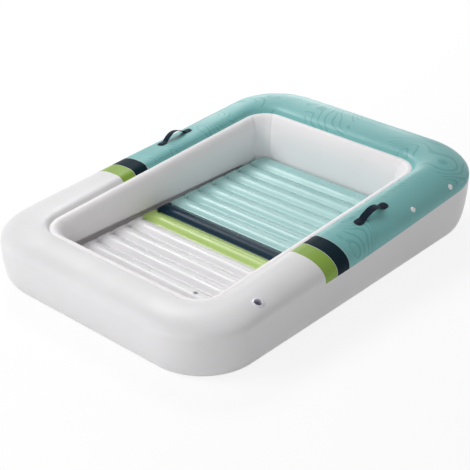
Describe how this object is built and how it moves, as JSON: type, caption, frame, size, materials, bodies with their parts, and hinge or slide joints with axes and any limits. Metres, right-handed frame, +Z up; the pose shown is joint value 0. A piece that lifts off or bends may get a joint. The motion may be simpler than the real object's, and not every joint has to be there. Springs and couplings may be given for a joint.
{
  "type": "inflatable pool lounger",
  "caption": "Rectangular inflatable pool lounger: a vinyl tube ring with a raised head end round a ribbed air mattress, with strap handles and air valves.",
  "frame": {"origin": "on the ground under the middle of the outline", "axes": "+Y towards the head end, +Z up, +X towards the left side of someone lying face up with the head at the head end"},
  "size_m": [1.52, 2.16, 0.3862],
  "materials": {
    "printed_vinyl": "satin vinyl printed aqua, with a navy and a lime band and white towards the foot",
    "white_vinyl": "satin white vinyl",
    "ribbed_vinyl": "satin vinyl, ribs aqua, navy, lime and white from the head end",
    "web_vinyl": "plain vinyl strip, hidden inside",
    "clear_vinyl": "moulded pale clear vinyl",
    "grey_plug": "moulded soft plug, dark grey",
    "white_plug": "moulded soft plug, white",
    "navy_webbing": "flat woven strap with welded patches"
  },
  "bodies": {
    "lounger": {"upper_panel": "printed_vinyl", "lower_panel": "white_vinyl", "inner_wall_panel": "white_vinyl", "left_chamber_wall": "web_vinyl", "right_chamber_wall": "web_vinyl", "mattress_top_sheet": "ribbed_vinyl", "mattress_bottom_sheet": "white_vinyl", "mattress_web_01": "web_vinyl", "mattress_web_02": "web_vinyl", "mattress_web_03": "web_vinyl", "mattress_web_04": "web_vinyl", "mattress_web_05": "web_vinyl", "mattress_web_06": "web_vinyl", "mattress_web_07": "web_vinyl", "mattress_web_08": "web_vinyl", "mattress_web_09": "web_vinyl", "mattress_web_10": "web_vinyl", "mattress_web_11": "web_vinyl", "mattress_web_12": "web_vinyl", "mattress_web_13": "web_vinyl", "main_valve_body": "clear_vinyl", "side_valve_body": "clear_vinyl", "head_valve_body": "clear_vinyl", "mattress_valve_body": "clear_vinyl", "left_handle_strap": "navy_webbing", "left_handle_foot_patch": "navy_webbing", "left_handle_head_patch": "navy_webbing", "right_handle_strap": "navy_webbing", "right_handle_foot_patch": "navy_webbing", "right_handle_head_patch": "navy_webbing"},
    "main_valve_plug": {"main_valve_plug": "grey_plug"},
    "main_valve_flap": {"main_valve_flap": "clear_vinyl"},
    "side_valve_plug": {"side_valve_plug": "white_plug"},
    "head_valve_plug": {"head_valve_plug": "white_plug"},
    "mattress_valve_plug": {"mattress_valve_plug": "grey_plug"}
  },
  "joints": [
    {"name": "main_plug_pull", "type": "slide", "parent": "lounger", "child": "main_valve_plug", "axis": [0.2611, -0.0524, 0.9639], "range_m": [0, 0.03]},
    {"name": "main_flap_hinge", "type": "hinge", "parent": "lounger", "child": "main_valve_flap", "pos_m": [0.70896, -0.69068, 0.24777], "axis": [0, -0.9985, -0.0543], "range_deg": [0, 60], "stiffness_Nm_per_rad": 0.003, "springref_deg": -11.46},
    {"name": "side_plug_pull", "type": "slide", "parent": "lounger", "child": "side_valve_plug", "axis": [0.7728, -0.0278, 0.6341], "range_m": [0, 0.015]},
    {"name": "head_plug_pull", "type": "slide", "parent": "lounger", "child": "head_valve_plug", "axis": [0.8055, -0.0245, 0.5921], "range_m": [0, 0.015]},
    {"name": "mattress_plug_pull", "type": "slide", "parent": "lounger", "child": "mattress_valve_plug", "axis": [0, 0, 1], "range_m": [0, 0.015]}
  ]
}
